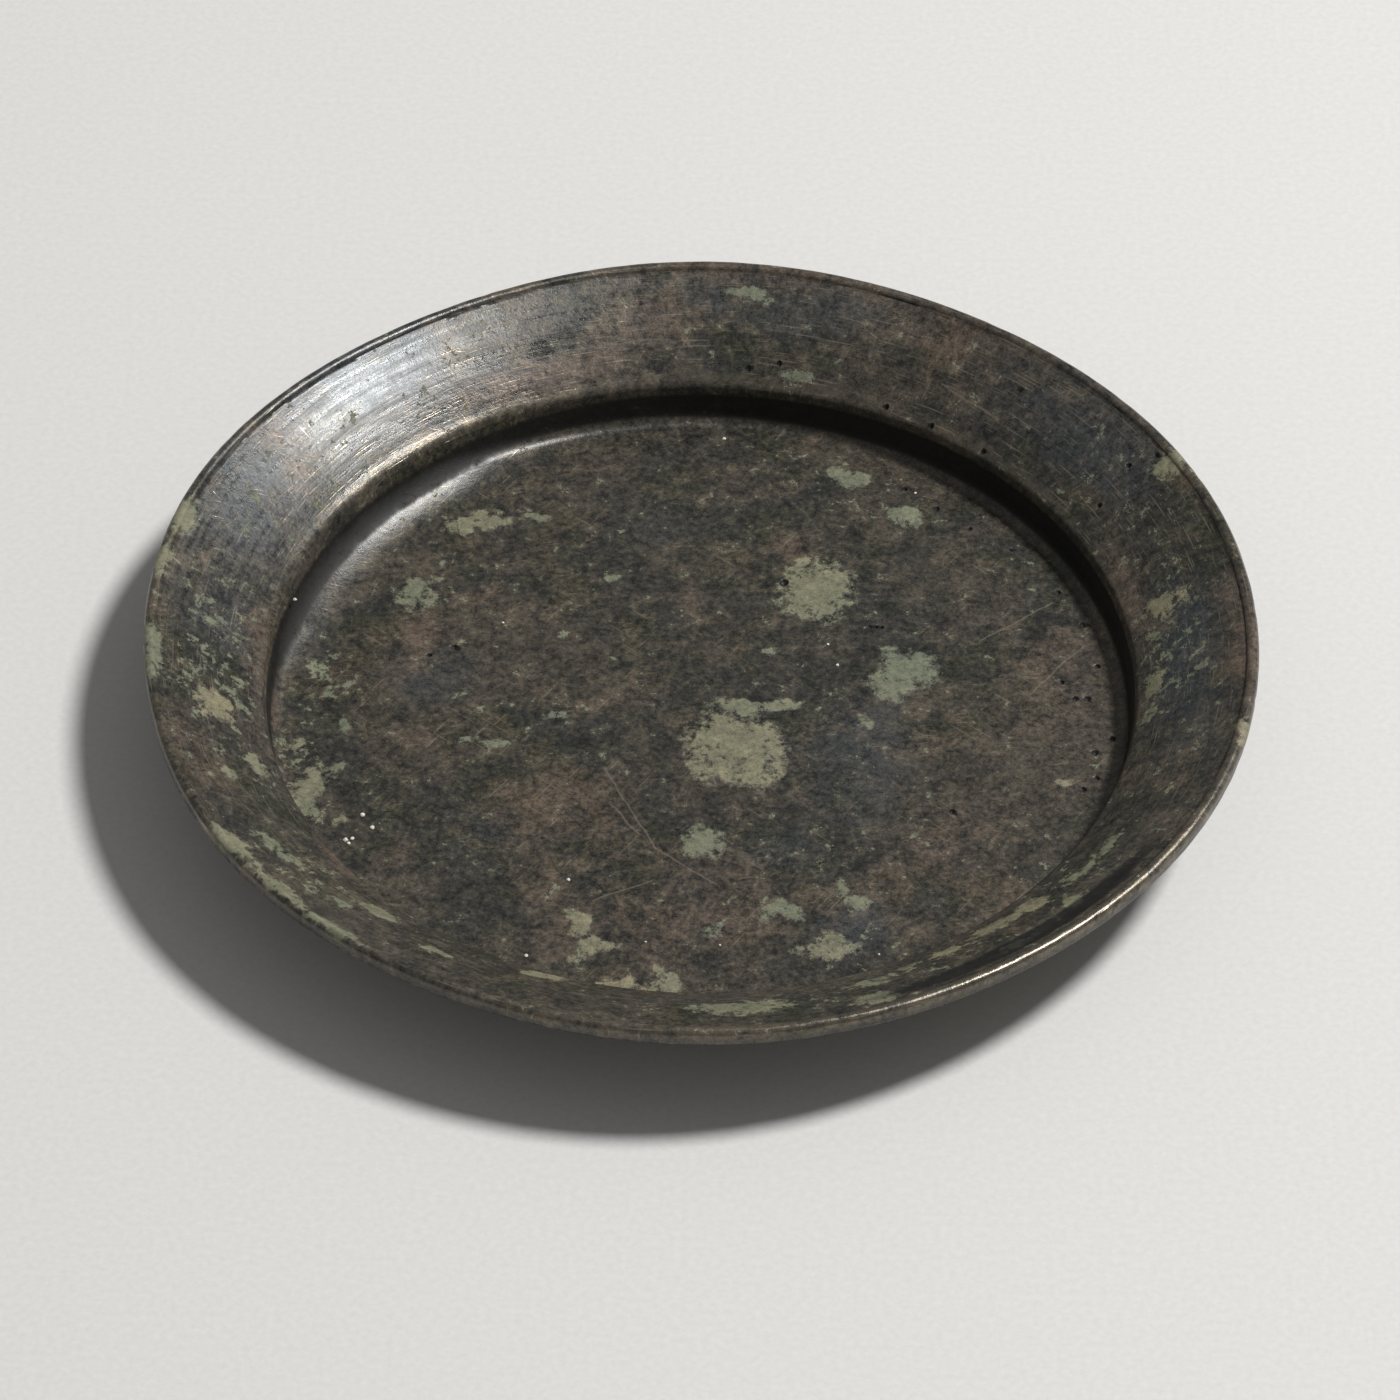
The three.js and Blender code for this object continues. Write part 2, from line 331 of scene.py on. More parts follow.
def dish_section(sizes):
    """The closed half section, from the axis outwards underneath and back on top.

    Gives the places, their headings along the middle line, which face up or in, and which are on the lip.
    """
    half = sizes.sheet / 2
    rim_radius = sizes.rim_diameter / 2
    foot = complex(sizes.floor_diameter / 2, sizes.sheet)
    mouth = complex(sizes.mouth_diameter / 2, sizes.sheet + sizes.well_depth)
    lip = complex(rim_radius - sizes.crest, sizes.height - sizes.crest)
    wall_angle = cmath.phase(mouth - foot)
    rim_angle = cmath.phase(lip - mouth) + 2 * math.atan(2 * sizes.crown / abs(lip - mouth))
    foot_corner = foot - across(wall_angle / 2, half / math.cos(wall_angle / 2))
    mean = (wall_angle + rim_angle) / 2
    mouth_corner = mouth - across(mean, half / math.cos((wall_angle - rim_angle) / 2))

    chord = abs(lip - mouth_corner)
    half_turn = 2 * math.atan(2 * sizes.crown / chord)
    slope = cmath.phase(lip - mouth_corner)

    def rim_stop(reach):
        share = reach / chord
        distance = chord * math.sin(half_turn * share) / math.sin(half_turn)
        place = mouth_corner + cmath.rect(distance, slope + half_turn * (1 - share))
        return place, slope + half_turn * (1 - 2 * share)

    def face(stops, side):
        return [(place + across(heading, side * half), heading) for place, heading in stops]

    def well(cove_steps, wall_steps, bend_steps):
        cove = round_corner(foot_corner, 0, wall_angle, sizes.cove + half, cove_steps)
        bend = round_corner(mouth_corner, wall_angle, rim_angle, sizes.bend + half, bend_steps)
        (low, _), (high, _) = cove[-1], bend[0]
        wall = [(low + (high - low) * i / wall_steps, wall_angle) for i in range(1, wall_steps)]
        return [*cove, *wall, *bend]

    def rim(start, stop_short, steps):
        end = chord - stop_short
        return [rim_stop(start + (end - start) * (i + 1) / steps) for i in range(steps)]

    def floor(edge, height, steps):
        return [(complex(edge * i / steps, height), 0) for i in range(steps)]

    well_top = well(cove_steps=8, wall_steps=7, bend_steps=6)
    well_under = well(cove_steps=6, wall_steps=3, bend_steps=4)
    rim_start = abs(well_top[-1][0] - mouth_corner)
    crest_reach = math.sqrt(sizes.crest**2 - half**2)
    top = face([*well_top, *rim(rim_start, crest_reach, steps=30)], 1)
    under = face([*well_under, *rim(rim_start, sizes.lip_taper, steps=9)], -1)
    top = [*floor(top[0][0].real, sizes.sheet, steps=56), *top]
    under = [*floor(under[0][0].real, 0, steps=12), *under]

    edge_centre = complex(rim_radius - sizes.lip_edge, sizes.height - sizes.lip_height + sizes.lip_edge)
    away = under[-1][0] - edge_centre
    edge_start = cmath.phase(away) + math.acos(sizes.lip_edge / abs(away))
    edge_start = math.remainder(edge_start, 2 * math.pi)
    crest_end = cmath.phase(top[-1][0] - lip)
    edge_steps, crest_steps = 5, 12
    edge = [edge_start * (1 - i / edge_steps) for i in range(edge_steps + 1)]
    crest = [crest_end * i / crest_steps for i in range(crest_steps)]
    outside = [(edge_centre + cmath.rect(sizes.lip_edge, angle), angle + math.pi / 2) for angle in edge]
    outside += [(lip + cmath.rect(sizes.crest, angle), angle + math.pi / 2) for angle in crest]

    stops = [*under, *outside, *reversed(top)]
    places = np.array([place for place, _ in stops])
    headings = np.array([heading for _, heading in stops])
    number = np.arange(len(stops))
    upper = number >= len(under) + len(edge)
    on_lip = (number >= len(under)) & (number < len(under) + len(outside))
    return places, headings, upper, on_lip


def active_mesh(name):
    """Names the active object and its mesh, and gives the object."""
    piece = bpy.context.object
    piece.name = name
    piece.data.name = name
    return piece


def draw_line(places):
    """Draws the section as a line, by extruding a point from place to place."""
    bpy.ops.object.select_all(action="DESELECT")
    bpy.ops.mesh.primitive_plane_add(size=2 * MM, location=(0, 0, 0))
    bpy.ops.object.mode_set(mode="EDIT")
    bpy.ops.mesh.select_mode(type="VERT")
    bpy.ops.mesh.merge(type="CENTER")
    for before, after in zip(places[:-1], places[1:]):
        step = after - before
        bpy.ops.mesh.extrude_region_move(TRANSFORM_OT_translate={"value": (step.real, 0, step.imag)})
    bpy.ops.object.mode_set(mode="OBJECT")


def spin_round(steps):
    """Spins the drawn section about the dish's axis and closes the seam and the two poles."""
    bpy.ops.object.mode_set(mode="EDIT")
    bpy.ops.mesh.select_all(action="SELECT")
    bpy.ops.mesh.spin(steps=steps, angle=2 * math.pi, center=(0, 0, 0), axis=(0, 0, 1))
    bpy.ops.mesh.select_all(action="SELECT")
    bpy.ops.mesh.remove_doubles(threshold=0.002 * MM)
    bpy.ops.mesh.normals_make_consistent(inside=False)
    bpy.ops.mesh.select_all(action="DESELECT")
    bpy.ops.object.mode_set(mode="OBJECT")


def read_points(mesh):
    """The mesh's points as rows of x, y and z."""
    points = np.empty(len(mesh.vertices) * 3)
    mesh.vertices.foreach_get("co", points)
    return points.reshape(-1, 3)


def refine_round(piece, marks, reach):
    """Cuts the upper faces within reach of each round mark into finer ones."""
    mesh = piece.data
    centres = np.empty(len(mesh.polygons) * 3)
    normals = np.empty(len(mesh.polygons) * 3)
    mesh.polygons.foreach_get("center", centres)
    mesh.polygons.foreach_get("normal", normals)
    centres, normals = centres.reshape(-1, 3), normals.reshape(-1, 3)
    chosen = np.zeros(len(centres), bool)
    for x, y, radius in marks:
        distance = np.hypot(centres[:, 0] - x * MM, centres[:, 1] - y * MM)
        chosen |= (distance < (radius + reach) * MM) & (normals[:, 2] > 0.3)
    mesh.polygons.foreach_set("select", chosen)
    bpy.ops.object.mode_set(mode="EDIT")
    bpy.ops.mesh.select_mode(type="FACE")
    bpy.ops.object.mode_set(mode="OBJECT")
    mesh.polygons.foreach_set("select", chosen)
    bpy.ops.object.mode_set(mode="EDIT")
    bpy.ops.mesh.subdivide(number_cuts=2)
    bpy.ops.mesh.select_all(action="DESELECT")
    bpy.ops.object.mode_set(mode="OBJECT")


def nearest_stops(points, places):
    """For each point, the number of the nearest stop of the section."""
    section = np.hypot(points[:, 0], points[:, 1]) + 1j * points[:, 2]
    blocks = np.array_split(section, 1 + len(section) // 20000)
    return np.concatenate([np.abs(block[:, None] - places[None, :]).argmin(1) for block in blocks])


def waves(points, size, seed, octaves=2):
    """Smooth random waves between about -1 and 1, as broad as size."""
    shift = Vector((seed, -seed, 0.5 * seed))
    return np.array([noise.fractal(Vector(point) / size + shift, 1.0, 2.0, octaves) for point in points])


def hump(values):
    """1 at 0, falling smoothly to 0 at -1 and 1 and staying there."""
    return np.where(np.abs(values) < 1, np.cos(np.clip(values, -1, 1) * math.pi / 2) ** 2, 0)


def from_spot(points, x, y, length, width, turn):
    """How far each point lies from the middle of an oval spot, as a share of the way to its edge."""
    angle = math.radians(turn)
    dx, dy = points[:, 0] / MM - x, points[:, 1] / MM - y
    u = dx * math.cos(angle) + dy * math.sin(angle)
    v = dy * math.cos(angle) - dx * math.sin(angle)
    return np.hypot(u / length, v / width)


def stain_field(points, stains):
    """The strength of soft stains at each point."""
    field = np.zeros(len(points))
    for *spot, strength in stains:
        field = np.maximum(field, strength * hump(from_spot(points, *spot) / 1.5))
    return field


def crust_field(points, crusts):
    """How thick the crusts are, 0.5 at their edges, and the tint of the nearest one."""
    field, tints = np.zeros(len(points)), np.zeros(len(points))
    for *spot, tint in crusts:
        here = np.clip(1.5 - from_spot(points, *spot), 0, 1)
        tints = np.where(here > field, tint, tints)
        field = np.maximum(field, here)
    return field, tints


def write_field(mesh, name, values):
    """Keeps a value for each point on the mesh, for the shader."""
    mesh.attributes.new(name, "FLOAT", "POINT").data.foreach_set("value", np.asarray(values, np.float32))


class WorkedPoints:
    """The dish's points while they are worked, and where each of them lay on the spun dish."""

    def __init__(self, mesh, sizes, section):
        places, headings, upper, on_lip = section
        self.points = read_points(mesh)
        stops = nearest_stops(self.points, places)
        self.upper, self.on_lip = upper[stops], on_lip[stops]
        self.radius = np.hypot(self.points[:, 0], self.points[:, 1])
        self.bearing = np.arctan2(self.points[:, 1], self.points[:, 0])
        self.flat_under = ~self.upper & (self.radius < sizes.floor_diameter / 2)
        self.outwards = np.column_stack([np.cos(self.bearing), np.sin(self.bearing)])
        # How much of a move along the sheet's own normal goes up and how much goes inwards.
        self.share_up = np.where(self.on_lip, 0, np.cos(headings[stops]))
        self.share_in = np.where(self.on_lip, 0, np.sin(headings[stops]))

    def lift(self, height):
        self.points[:, 2] += height

    def push_out(self, distance):
        self.points[:, :2] += self.outwards * distance[:, None]

    def facing(self, middle, spread):
        """1 at a bearing, falling smoothly to 0 at spread degrees to either side."""
        away = np.remainder(self.bearing - math.radians(middle) + math.pi, 2 * math.pi) - math.pi
        return hump(away / math.radians(spread))


def bend_sheet(work, sizes, surface):
    """Makes the swells and the valley of the solid. Gives how deep in the valley each point is."""
    rim_radius, floor_radius = sizes.rim_diameter / 2, sizes.floor_diameter / 2
    share = np.clip((work.radius - floor_radius) / (rim_radius - floor_radius), 0, None)
    swell = sum(reach * np.cos(lobes * (work.bearing - math.radians(at))) for lobes, reach, at in SWELLS) * MM
    valley = hump((work.radius - rim_radius + VALLEY_INSET) / VALLEY_WIDTH)
    valley = valley * work.facing(VALLEY_BEARING, VALLEY_SPREAD)
    work.push_out(swell * share)
    work.lift(-surface.valley * valley)
    return valley


def soften_foot(work, sizes, surface):
    """At the back left, curves the floor up to the wall and rolls the bend above it."""
    mouth = sizes.mouth_diameter / 2
    here = np.clip(1.6 * work.facing(FOOT_BEARING, FOOT_SPREAD), 0, 1) * work.upper
    rise = np.clip((work.radius - FOOT_START) / FOOT_WIDTH, 0, 1) ** 2 * (work.radius < mouth)
    above = np.clip((work.points[:, 2] - sizes.sheet) / sizes.well_depth, 0, 1)
    roll = hump((work.radius - mouth - ROLL_OFFSET) / ROLL_WIDTH)
    work.lift((surface.foot * rise * (1 - above) + surface.roll * roll) * here)


def dent_sheet(work, surface):
    """Pushes the sheet along its own normal, both faces together. The flat underside stays flat."""
    dents = surface.dents * waves(work.points, 34 * MM, 3.1)
    dents += surface.ripples * waves(work.points, 9 * MM, 7.7)
    dents[work.flat_under] = 0
    work.lift(dents * work.share_up)
    work.push_out(-(dents * work.share_in))


def nick_lip(work, surface):
    """Wears the lip unevenly and knocks small nicks into it."""
    wear = waves(work.points, 5 * MM, 1.3, 3) * surface.wear
    nicks = surface.nicks * np.clip(waves(work.points, 3 * MM, 9.2) - 0.45, 0, 1)
    work.push_out(np.where(work.on_lip, np.minimum(wear - nicks, 0.02 * MM), 0))


def grow_crusts(work, surface):
    """Raises the crusts, with ragged outlines. Gives their thickness and their tint."""
    warped = work.points.copy()
    for axis in (0, 1):
        sway = waves(work.points, 7 * MM, 11.3 + 4 * axis) * (work.radius < 94 * MM)
        warped[:, axis] += 2.6 * MM * sway
        warped[:, axis] += 1.1 * MM * waves(work.points, 3 * MM, 17.9 + 4 * axis)
    crust, tints = crust_field(warped, FLOOR_CRUSTS + RIM_CRUSTS)
    crust = np.where(work.upper, crust, 0)
    ragged = waves(work.points, 2.2 * MM, 5.5, 3)
    raised = np.clip((crust + 0.25 * ragged - 0.45) / 0.15, 0, 1)
    work.lift(surface.crust * raised * (1 + 0.4 * ragged) * work.share_up)
    return crust, tints


def sink_pits(work, surface):
    """Sinks the pits. Gives how far each point is from the nearest one, in radii of that pit."""
    from_pit = np.full(len(work.points), 9.0)
    for x, y, size in PITS:
        away = np.hypot(work.points[:, 0] - x * MM, work.points[:, 1] - y * MM) / (size * MM)
        from_pit = np.where(work.upper, np.minimum(from_pit, away), from_pit)
    work.lift(-surface.pits * np.sqrt(np.clip(1.25 - from_pit, 0, 1)))
    return from_pit


def find_grime_and_shade(work, sizes, valley, from_pit):
    """Where the near-black colour goes: dark deposits on the wall, in the valley and in the pits, painted
    shadow on the back and right of the wall, and a painted shade line along the near bend.
    """
    mouth = sizes.mouth_diameter / 2
    up_wall = (work.points[:, 2] - sizes.sheet) / sizes.well_depth
    on_wall = work.upper & (work.radius > 90 * MM) & (work.radius < mouth + 0.2 * MM)
    # Dark deposits all round the wall, doubled towards the back right, away from the lamp: a painted shadow.
    wall = np.where(on_wall, hump((up_wall - 0.45) / 0.5), 0) * (1 + work.facing(35, 100))
    # A painted shade line just inside the near bend, along the front of the dish.
    near_bend_shade = np.where(work.upper, hump((work.radius - mouth) / (1.2 * MM)), 0) * work.facing(-70, 100)
    pits = 2 * np.clip(1.75 - from_pit, 0, 1)
    return np.maximum.reduce([wall, 1.3 * near_bend_shade, 1.3 * valley * work.upper, pits])


def find_rubbed_and_highlight(work, sizes):
    """Where bright bare metal is painted: wear on the lip and on the far bend, which also paints a highlight
    along the front-right lip and a light line along the far bend.
    """
    # Strongest at the front right of the lip: wear with a painted highlight.
    lip = np.where(work.on_lip & work.upper, 0.2 + 0.8 * work.facing(-60, 70), 0)
    # A light line of bare metal along the far bend: wear with a painted highlight.
    bend = hump((work.radius - sizes.mouth_diameter / 2 - 1.2 * MM) / (1.9 * MM)) * work.facing(100, 150)
    return np.maximum(lip, np.where(work.upper, 0.8 * bend, 0))


def hammer_dish(piece, sizes, surface, section):
    """Moves the points as hammer, wear and corrosion did, and keeps the fields that the shader reads."""
    mesh = piece.data
    work = WorkedPoints(mesh, sizes, section)
    valley = bend_sheet(work, sizes, surface)
    soften_foot(work, sizes, surface)
    dent_sheet(work, surface)
    nick_lip(work, surface)
    crust, tints = grow_crusts(work, surface)
    from_pit = sink_pits(work, surface)

    work.points = np.clip(work.points, LOW + 0.01 * MM, HIGH - 0.01 * MM)
    work.points[work.flat_under, 2] = 0
    mesh.vertices.foreach_set("co", work.points.ravel())
    mesh.update()

    write_field(mesh, "crust", crust)
    write_field(mesh, "tint", tints)
    write_field(mesh, "warm", stain_field(work.points, WARM_STAINS))
    write_field(mesh, "cool", stain_field(work.points, COOL_STAINS))
    write_field(mesh, "dust", np.where(work.upper, stain_field(work.points, DUSTED), 0.2))
    write_field(mesh, "grime_and_shade", find_grime_and_shade(work, sizes, valley, from_pit))
    write_field(mesh, "rubbed_and_highlight", find_rubbed_and_highlight(work, sizes))


class Wire:
    """A socket in a material's nodes. Arithmetic on wires and numbers adds Math nodes."""

    def __init__(self, tree, socket=None):
        self.tree = tree
        self.socket = socket

    def node(self, kind, settings=None, inputs=None, output=0):
        """Adds a node, sets it up, fills or links its sockets, and gives one of its outputs."""
        node = self.tree.nodes.new("ShaderNode" + kind)
        for name, value in (settings or {}).items():
            setattr(node, name, value)
        for name, value in (inputs or {}).items():
            if isinstance(value, Wire):
                self.tree.links.new(value.socket, node.inputs[name])
            else:
                node.inputs[name].default_value = value
        return Wire(self.tree, node.outputs[output])

    def math(self, operation, *values):
        """A Math node."""
        return self.node("Math", {"operation": operation}, dict(enumerate(values)))

    def __add__(self, other):
        return self.math("ADD", self, other)

    def __radd__(self, other):
        return self.math("ADD", other, self)

    def __sub__(self, other):
        return self.math("SUBTRACT", self, other)

    def __rsub__(self, other):
        return self.math("SUBTRACT", other, self)

    def __mul__(self, other):
        return self.math("MULTIPLY", self, other)

    def __rmul__(self, other):
        return self.math("MULTIPLY", other, self)

    def largest(self, other):
        """The larger of two values."""
        return self.math("MAXIMUM", self, other)

    def clipped(self):
        """This value, kept between 0 and 1."""
        return self.math("MAXIMUM", self.math("MINIMUM", self, 1.0), 0.0)

    def ramp(self, low, high):
        """A smooth step from 0 at low to 1 at high."""
        inputs = {"Value": self, "From Min": low, "From Max": high}
        return self.node("MapRange", {"interpolation_type": "SMOOTHSTEP"}, inputs)

    def mottle(self, size, detail=4.0, roughness=0.6, distortion=0.0):
        """Noise over this vector, about 0.5, with marks of about that size in metres."""
        inputs = {"Vector": self, "Scale": 1 / size, "Detail": detail, "Roughness": roughness}
        return self.node("TexNoise", None, {**inputs, "Distortion": distortion})

    def vector(self, operation, *values, output=0):
        """A Vector Math node."""
        return self.node("VectorMath", {"operation": operation}, dict(enumerate(values)), output)

    def scaled(self, factor):
        """This vector or colour, multiplied by a number."""
        return self.node("VectorMath", {"operation": "SCALE"}, {0: self, "Scale": factor})

    def blend(self, other, share):
        """This colour, turned into the other one by the share."""
        return self.node("Mix", {"data_type": "RGBA"}, {0: share, 6: self, 7: other}, 2)


def field(start, name):
    """A value kept on the mesh."""
    return start.node("Attribute", {"attribute_name": name}, None, 2)


def with_colour(start, value):
    """A colour of its own, ready to blend."""
    wire = start.node("RGB")
    wire.socket.default_value = (*value, 1)
    return wire


def streaks(place, turn, width, length, density):
    """Fine straight scratches that run one way: 1 on a scratch, 0 beside it."""
    turned = place.node("Mapping", None, {"Vector": place, "Rotation": (0, 0, math.radians(turn))})
    stretched = turned.node("Mapping", None, {"Vector": turned, "Scale": (1 / width, 1 / length, 1 / length)})
    distance = stretched.node("TexVoronoi", None, {"Vector": stretched, "Scale": 1.0})
    return 1 - distance.ramp(density * 0.3, density)


def ring_place(place, width, length):
    """The place in units of a mark that is that wide across the rim and that long round it."""
    flat = place.vector("MULTIPLY", place, (1, 1, 0))
    round_way = flat.vector("NORMALIZE", flat).scaled(0.1 / length)
    radius = flat.vector("LENGTH", flat, output=1)
    up = place.node("CombineXYZ", None, {"Z": radius * (1 / width)})
    return round_way.vector("ADD", round_way, up)


def ring_streaks(place, width, length, density):
    """Fine scratches that run round the dish, left by turning and wiping."""
    distance = place.node("TexVoronoi", None, {"Vector": ring_place(place, width, length), "Scale": 1.0})
    return 1 - distance.ramp(density * 0.3, density)


def long_scratch(place, ends, width):
    """One scratch between two points of the plan: 1 on it, 0 beside it."""
    x0, y0, x1, y1 = (value * MM for value in ends)
    run = (x1 - x0, y1 - y0, 0)
    length_squared = run[0] ** 2 + run[1] ** 2
    from_start = place.vector("SUBTRACT", place.vector("MULTIPLY", place, (1, 1, 0)), (x0, y0, 0))
    share = (from_start.vector("DOT_PRODUCT", from_start, run, output=1) * (1 / length_squared)).clipped()
    along = place.node("CombineXYZ", None, {"X": share * run[0], "Y": share * run[1]})
    distance = from_start.vector("DISTANCE", from_start, along, output=1)
    return 1 - distance.ramp(width * 0.3, width)


class Noises:
    """The noises that the patina is made of, from marks as broad as a thumb down to single grains."""

    def __init__(self, place):
        self.broad = place.mottle(26 * MM, 5.0, 0.62, 0.6)
        self.other = place.vector("ADD", place, (0.31, 0.17, 0.23)).mottle(19 * MM, 6.0, 0.66, 0.8)
        self.patchy = place.vector("ADD", place, (0.11, 0.53, 0.07)).mottle(5.5 * MM, 6.0, 0.7, 0.5)
        self.mid = place.vector("ADD", place, (0.7, 0.1, 0.3)).mottle(2.8 * MM, 6.0, 0.72, 0.3)
        self.fine = place.mottle(1.4 * MM, 5.0, 0.75)
        self.grain = place.vector("ADD", place, (0.4, 0.2, 0.1)).mottle(0.42 * MM, 3.0, 0.7)

    def speckle(self, fine, grain, patchy, middle):
        """A factor about the middle that varies by so much of each noise."""
        return (self.fine - 0.5) * fine + (self.grain - 0.5) * grain + (self.patchy - 0.5) * patchy + middle


def stained_paint(start, surface, noises):
    """The patina from dark to brown, under an olive film and cool and warm stains."""
    broad, other, patchy, fine = noises.broad, noises.other, noises.patchy, noises.fine
    brown = (broad * 1.9 + patchy * 0.9 + fine * 0.9).ramp(1.45, 2.5)
    olive = (other * 1.1 + (1 - broad) * 1.0 + fine * 0.9).ramp(1.4, 1.8)
    cool = (field(start, "cool") * 0.7 + broad * 1.0 + (1 - patchy) * 0.8 + (fine - 0.5)).ramp(1.0, 1.6)
    warm = (field(start, "warm") * 0.5 + other * 1.7 + patchy * 0.8 + fine * 0.9).ramp(1.65, 2.4)
    paint = with_colour(start, surface.dark).blend(with_colour(start, surface.brown), brown)
    paint = paint.blend(with_colour(start, surface.olive), olive * 0.55)
    paint = paint.blend(with_colour(start, surface.grey), cool * 0.75)
    paint = paint.blend(with_colour(start, surface.red), warm * 0.6)
    return paint.scaled(noises.speckle(2.6, 2.2, 1.9, 1.03).largest(0.25))


def scratch_lines(place, noises, on_rim):
    """All scratches, many fine ones and a few long ones: 1 on a scratch, 0 beside it."""
    worn = (noises.other * 1.0 + noises.patchy * 0.6).ramp(0.75, 1.0)
    lines = streaks(place, 35, 1.1 * MM, 26 * MM, 0.2).largest(streaks(place, -50, 1.2 * MM, 30 * MM, 0.18))
    lines = lines.largest(streaks(place, 80, 1.1 * MM, 9 * MM, 0.2)) * worn
    short = ring_streaks(place, 0.5 * MM, 8 * MM, 0.26) * 0.7
    lines = lines.largest(ring_streaks(place, 0.8 * MM, 24 * MM, 0.2).largest(short) * on_rim * 0.9)
    sway = place.node("CombineXYZ", None, {"X": (place.mottle(9 * MM, 2.0) - 0.5) * (2.5 * MM)})
    wavy = place.vector("ADD", place, sway)
    for ends in SCRATCHES:
        lines = lines.largest(long_scratch(wavy, ends, 0.32 * MM) * 0.8 * (noises.fine * 1.6).clipped())
    return lines


def crust_layer(start, surface, noises):
    """The paint of the pale crusts and specks, and how much of the metal they cover."""
    ragged = (noises.mid - 0.5) * 3.0 + (noises.patchy - 0.5) * 1.9 + (noises.fine - 0.5) * 1.3
    specks = (ragged * 0.42 + field(start, "dust") * 0.17).ramp(0.195, 0.245)
    thick = field(start, "crust")
    crust = thick + ragged * thick.ramp(0.0, 0.35)
    thin_film = crust.ramp(0.15, 0.55) * 0.4
    tint = (field(start, "tint") + (noises.patchy - 0.5) * 0.8).clipped()
    paint = with_colour(start, surface.sage).blend(with_colour(start, surface.tan), tint)
    paint = paint.scaled(noises.speckle(1.9, 1.4, 1.2, 1.0))
    return paint, (crust.ramp(0.5, 0.57) * 0.9).largest(thin_film).largest(specks * 0.85)


def patina_material(surface):
    """The dark mottled patina, with stains, crusts, dark deposits with painted shade, bare metal with painted
    highlights, and scratches.
    """
    material = bpy.data.materials.new("dish_patina")
    material.use_nodes = True
    tree = material.node_tree
    shader = tree.nodes["Principled BSDF"]
    start = Wire(tree)
    place = start.node("TexCoord", None, None, 3)
    noises = Noises(place)
    patchy, fine = noises.patchy, noises.fine
    from_axis = place.vector("LENGTH", place.vector("MULTIPLY", place, (1, 1, 0)), output=1)
    on_rim = from_axis.ramp(94 * MM, 96 * MM)

    lines = scratch_lines(place, noises, on_rim)
    wiped = (ring_place(place, 1.3 * MM, 26 * MM).mottle(1.0, 4.0, 0.7) - 0.5) * on_rim
    crust_paint, cover = crust_layer(start, surface, noises)
    # Bare metal, also a painted highlight on the front-right lip and the far bend.
    rubbed_and_highlight = field(start, "rubbed_and_highlight") * (patchy * 1.3 + fine * 0.8).ramp(0.7, 1.3)
    # Dark deposits, also painted shadow on the wall and a painted shade line along the near bend.
    dirt_and_shade = (field(start, "grime_and_shade") * 1.3 + (patchy - 0.5) * 0.7).ramp(0.35, 0.95)

    paint = stained_paint(start, surface, noises)
    paint = paint.blend(with_colour(start, surface.metal), lines * 0.6)
    paint = paint.blend(crust_paint, cover)
    paint = paint.blend(with_colour(start, surface.metal), rubbed_and_highlight * 0.4)
    paint = paint.blend(with_colour(start, surface.grime_and_shade), dirt_and_shade * 0.9)

    rough = 0.32 + (patchy - 0.5) * 0.35 + (fine - 0.5) * 0.25 + cover * 0.36 + dirt_and_shade * 0.3
    rough = rough - lines * 0.08 + wiped * 0.6 - rubbed_and_highlight * 0.06
    metallic = ((lines * 0.5).largest(rubbed_and_highlight * 0.7) + 0.2) * (1 - cover)
    height = wiped * 0.6 + noises.grain * 0.25 + fine * 0.5 + patchy * 0.6 - lines * 0.25 + cover * 0.7
    bump = start.node("Bump", None, {"Strength": 0.7, "Distance": 0.17 * MM, "Height": height})
    tree.links.new(paint.socket, shader.inputs["Base Color"])
    tree.links.new(rough.clipped().socket, shader.inputs["Roughness"])
    tree.links.new(metallic.clipped().socket, shader.inputs["Metallic"])
    tree.links.new(bump.socket, shader.inputs["Normal"])
    shader.inputs["IOR"].default_value = 1.55
    return material


def plain_material(name, value, roughness):
    """A matt surface whose colour varies a little."""
    material = bpy.data.materials.new(name)
    material.use_nodes = True
    tree = material.node_tree
    shader = tree.nodes["Principled BSDF"]
    start = Wire(tree)
    place = start.node("TexCoord", None, None, 3)
    shade_of = place.mottle(1.5 * MM, 3.0) * 0.2 + 0.9
    tree.links.new(with_colour(start, value).scaled(shade_of).socket, shader.inputs["Base Color"])
    shader.inputs["Roughness"].default_value = roughness
    return material


def top_height(points, x, y):
    """The height of the upper face at a place of the plan, from the highest point near it."""
    distance = np.hypot(points[:, 0] - x * MM, points[:, 1] - y * MM)
    near = distance < 1.6 * MM
    return points[near, 2].max()


class DISH_OT_body(bpy.types.Operator):
    """Spin, hammer, pit and colour the dish"""

    bl_idname = "dish.body"
    bl_label = "Dish body"

    def execute(self, context):
        sizes, surface = context.scene.dish_sizes, context.scene.dish_surface
        section = dish_section(sizes)
        draw_line(section[0])
        spin_round(sizes.ring_steps)
        piece = active_mesh("dish")
        refine_round(piece, PITS, 0.6)
        refine_round(piece, PITS, 0.15)
        hammer_dish(piece, sizes, surface, section)
        bpy.ops.object.shade_smooth_by_angle(angle=math.radians(48))
        piece.data.materials.append(patina_material(surface))
        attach(piece, BODY)
        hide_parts(NODE)
        return {"FINISHED"}


